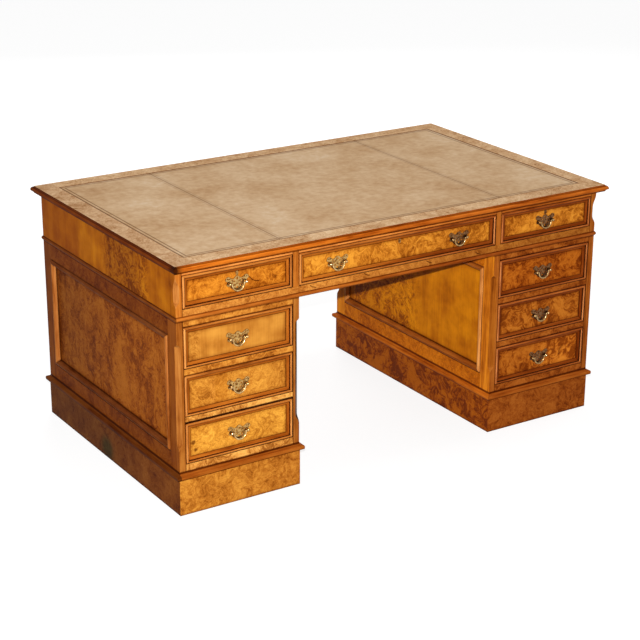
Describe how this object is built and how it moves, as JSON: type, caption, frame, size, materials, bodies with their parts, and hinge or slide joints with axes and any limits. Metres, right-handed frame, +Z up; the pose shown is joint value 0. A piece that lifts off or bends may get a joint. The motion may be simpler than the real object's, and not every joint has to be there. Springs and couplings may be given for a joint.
{
  "type": "partners desk",
  "caption": "Twin-pedestal partners desk in burr walnut: panelled leather top, frieze and pedestal drawers with brass bails, rear cupboards.",
  "frame": {"origin": "on the floor under the middle of the desk top", "axes": "+X along the length to the right of the pictured front, +Y towards the rear side, +Z up"},
  "size_m": [1.574, 0.964, 0.775],
  "materials": {
    "burr_walnut": "french polished burr walnut veneer",
    "walnut": "polished walnut mouldings",
    "carcass": "plain secondary wood",
    "leather": "waxed tan hide, worn",
    "brass": "aged brass"
  },
  "bodies": {
    "case": {"desktop_core": "carcass", "desktop_border": "walnut", "leather_panels": "leather", "frieze_ends": "burr_walnut", "frieze_front_frame": "burr_walnut", "frieze_rear_frame": "burr_walnut", "frieze_internals": "carcass", "waist_moulding": "walnut", "right_pedestal_frame": "burr_walnut", "left_pedestal_frame": "burr_walnut", "pedestal_internals": "carcass", "side_panels": "burr_walnut", "panel_mouldings": "walnut", "plinths": "burr_walnut", "plinth_mouldings": "walnut", "hinge_leaves": "brass"},
    "front_left_frieze_drawer_body": {"front_left_frieze_drawer": "burr_walnut", "front_left_frieze_handle": "brass"},
    "front_left_frieze_bail_body": {"front_left_frieze_bail": "brass"},
    "front_centre_frieze_drawer_body": {"front_centre_frieze_drawer": "burr_walnut", "front_centre_frieze_handle": "brass"},
    "front_centre_frieze_bail_left_body": {"front_centre_frieze_bail_left": "brass"},
    "front_centre_frieze_bail_right_body": {"front_centre_frieze_bail_right": "brass"},
    "front_right_frieze_drawer_body": {"front_right_frieze_drawer": "burr_walnut", "front_right_frieze_handle": "brass"},
    "front_right_frieze_bail_body": {"front_right_frieze_bail": "brass"},
    "rear_left_frieze_drawer_body": {"rear_left_frieze_drawer": "burr_walnut", "rear_left_frieze_handle": "brass"},
    "rear_left_frieze_bail_body": {"rear_left_frieze_bail": "brass"},
    "rear_centre_frieze_drawer_body": {"rear_centre_frieze_drawer": "burr_walnut", "rear_centre_frieze_handle": "brass"},
    "rear_centre_frieze_bail_left_body": {"rear_centre_frieze_bail_left": "brass"},
    "rear_centre_frieze_bail_right_body": {"rear_centre_frieze_bail_right": "brass"},
    "rear_right_frieze_drawer_body": {"rear_right_frieze_drawer": "burr_walnut", "rear_right_frieze_handle": "brass"},
    "rear_right_frieze_bail_body": {"rear_right_frieze_bail": "brass"},
    "left_lower_drawer_body": {"left_lower_drawer": "burr_walnut", "left_lower_handle": "brass"},
    "left_lower_bail_body": {"left_lower_bail": "brass"},
    "left_middle_drawer_body": {"left_middle_drawer": "burr_walnut", "left_middle_handle": "brass"},
    "left_middle_bail_body": {"left_middle_bail": "brass"},
    "left_upper_drawer_body": {"left_upper_drawer": "burr_walnut", "left_upper_handle": "brass"},
    "left_upper_bail_body": {"left_upper_bail": "brass"},
    "right_lower_drawer_body": {"right_lower_drawer": "burr_walnut", "right_lower_handle": "brass"},
    "right_lower_bail_body": {"right_lower_bail": "brass"},
    "right_middle_drawer_body": {"right_middle_drawer": "burr_walnut", "right_middle_handle": "brass"},
    "right_middle_bail_body": {"right_middle_bail": "brass"},
    "right_upper_drawer_body": {"right_upper_drawer": "burr_walnut", "right_upper_handle": "brass"},
    "right_upper_bail_body": {"right_upper_bail": "brass"},
    "rear_right_door_body": {"rear_right_door": "burr_walnut", "rear_right_door_fittings": "brass"},
    "rear_left_door_body": {"rear_left_door": "burr_walnut", "rear_left_door_fittings": "brass"}
  },
  "joints": [
    {"name": "front_left_frieze_slide", "type": "slide", "parent": "case", "child": "front_left_frieze_drawer_body", "axis": [0, -1, 0], "range_m": [0, 0.32]},
    {"name": "front_left_frieze_bail_hinge", "type": "hinge", "parent": "front_left_frieze_drawer_body", "child": "front_left_frieze_bail_body", "pos_m": [-0.563, -0.448, 0.68175], "axis": [-1, 0, 0], "range_deg": [0, 95]},
    {"name": "front_centre_frieze_slide", "type": "slide", "parent": "case", "child": "front_centre_frieze_drawer_body", "axis": [0, -1, 0], "range_m": [0, 0.32]},
    {"name": "front_centre_frieze_bail_left_hinge", "type": "hinge", "parent": "front_centre_frieze_drawer_body", "child": "front_centre_frieze_bail_left_body", "pos_m": [-0.2225, -0.448, 0.68175], "axis": [-1, 0, 0], "range_deg": [0, 95]},
    {"name": "front_centre_frieze_bail_right_hinge", "type": "hinge", "parent": "front_centre_frieze_drawer_body", "child": "front_centre_frieze_bail_right_body", "pos_m": [0.2225, -0.448, 0.68175], "axis": [-1, 0, 0], "range_deg": [0, 95]},
    {"name": "front_right_frieze_slide", "type": "slide", "parent": "case", "child": "front_right_frieze_drawer_body", "axis": [0, -1, 0], "range_m": [0, 0.32]},
    {"name": "front_right_frieze_bail_hinge", "type": "hinge", "parent": "front_right_frieze_drawer_body", "child": "front_right_frieze_bail_body", "pos_m": [0.563, -0.448, 0.68175], "axis": [-1, 0, 0], "range_deg": [0, 95]},
    {"name": "rear_left_frieze_slide", "type": "slide", "parent": "case", "child": "rear_left_frieze_drawer_body", "axis": [0, 1, 0], "range_m": [0, 0.32]},
    {"name": "rear_left_frieze_bail_hinge", "type": "hinge", "parent": "rear_left_frieze_drawer_body", "child": "rear_left_frieze_bail_body", "pos_m": [-0.563, 0.448, 0.68175], "axis": [1, 0, 0], "range_deg": [0, 95]},
    {"name": "rear_centre_frieze_slide", "type": "slide", "parent": "case", "child": "rear_centre_frieze_drawer_body", "axis": [0, 1, 0], "range_m": [0, 0.32]},
    {"name": "rear_centre_frieze_bail_left_hinge", "type": "hinge", "parent": "rear_centre_frieze_drawer_body", "child": "rear_centre_frieze_bail_left_body", "pos_m": [-0.2225, 0.448, 0.68175], "axis": [1, 0, 0], "range_deg": [0, 95]},
    {"name": "rear_centre_frieze_bail_right_hinge", "type": "hinge", "parent": "rear_centre_frieze_drawer_body", "child": "rear_centre_frieze_bail_right_body", "pos_m": [0.2225, 0.448, 0.68175], "axis": [1, 0, 0], "range_deg": [0, 95]},
    {"name": "rear_right_frieze_slide", "type": "slide", "parent": "case", "child": "rear_right_frieze_drawer_body", "axis": [0, 1, 0], "range_m": [0, 0.32]},
    {"name": "rear_right_frieze_bail_hinge", "type": "hinge", "parent": "rear_right_frieze_drawer_body", "child": "rear_right_frieze_bail_body", "pos_m": [0.563, 0.448, 0.68175], "axis": [1, 0, 0], "range_deg": [0, 95]},
    {"name": "left_lower_slide", "type": "slide", "parent": "case", "child": "left_lower_drawer_body", "axis": [0, -1, 0], "range_m": [0, 0.32]},
    {"name": "left_lower_bail_hinge", "type": "hinge", "parent": "left_lower_drawer_body", "child": "left_lower_bail_body", "pos_m": [-0.563, -0.448, 0.2195], "axis": [-1, 0, 0], "range_deg": [0, 95]},
    {"name": "left_middle_slide", "type": "slide", "parent": "case", "child": "left_middle_drawer_body", "axis": [0, -1, 0], "range_m": [0, 0.32]},
    {"name": "left_middle_bail_hinge", "type": "hinge", "parent": "left_middle_drawer_body", "child": "left_middle_bail_body", "pos_m": [-0.563, -0.448, 0.36675], "axis": [-1, 0, 0], "range_deg": [0, 95]},
    {"name": "left_upper_slide", "type": "slide", "parent": "case", "child": "left_upper_drawer_body", "axis": [0, -1, 0], "range_m": [0, 0.32]},
    {"name": "left_upper_bail_hinge", "type": "hinge", "parent": "left_upper_drawer_body", "child": "left_upper_bail_body", "pos_m": [-0.563, -0.448, 0.514], "axis": [-1, 0, 0], "range_deg": [0, 95]},
    {"name": "right_lower_slide", "type": "slide", "parent": "case", "child": "right_lower_drawer_body", "axis": [0, -1, 0], "range_m": [0, 0.32]},
    {"name": "right_lower_bail_hinge", "type": "hinge", "parent": "right_lower_drawer_body", "child": "right_lower_bail_body", "pos_m": [0.563, -0.448, 0.2195], "axis": [-1, 0, 0], "range_deg": [0, 95]},
    {"name": "right_middle_slide", "type": "slide", "parent": "case", "child": "right_middle_drawer_body", "axis": [0, -1, 0], "range_m": [0, 0.32]},
    {"name": "right_middle_bail_hinge", "type": "hinge", "parent": "right_middle_drawer_body", "child": "right_middle_bail_body", "pos_m": [0.563, -0.448, 0.36675], "axis": [-1, 0, 0], "range_deg": [0, 95]},
    {"name": "right_upper_slide", "type": "slide", "parent": "case", "child": "right_upper_drawer_body", "axis": [0, -1, 0], "range_m": [0, 0.32]},
    {"name": "right_upper_bail_hinge", "type": "hinge", "parent": "right_upper_drawer_body", "child": "right_upper_bail_body", "pos_m": [0.563, -0.448, 0.514], "axis": [-1, 0, 0], "range_deg": [0, 95]},
    {"name": "rear_right_door_hinge", "type": "hinge", "parent": "case", "child": "rear_right_door_body", "pos_m": [0.7435, 0.4513, 0.3675], "axis": [0, 0, -1], "range_deg": [0, 95]},
    {"name": "rear_left_door_hinge", "type": "hinge", "parent": "case", "child": "rear_left_door_body", "pos_m": [-0.7435, 0.4513, 0.3675], "axis": [0, 0, 1], "range_deg": [0, 95]}
  ]
}
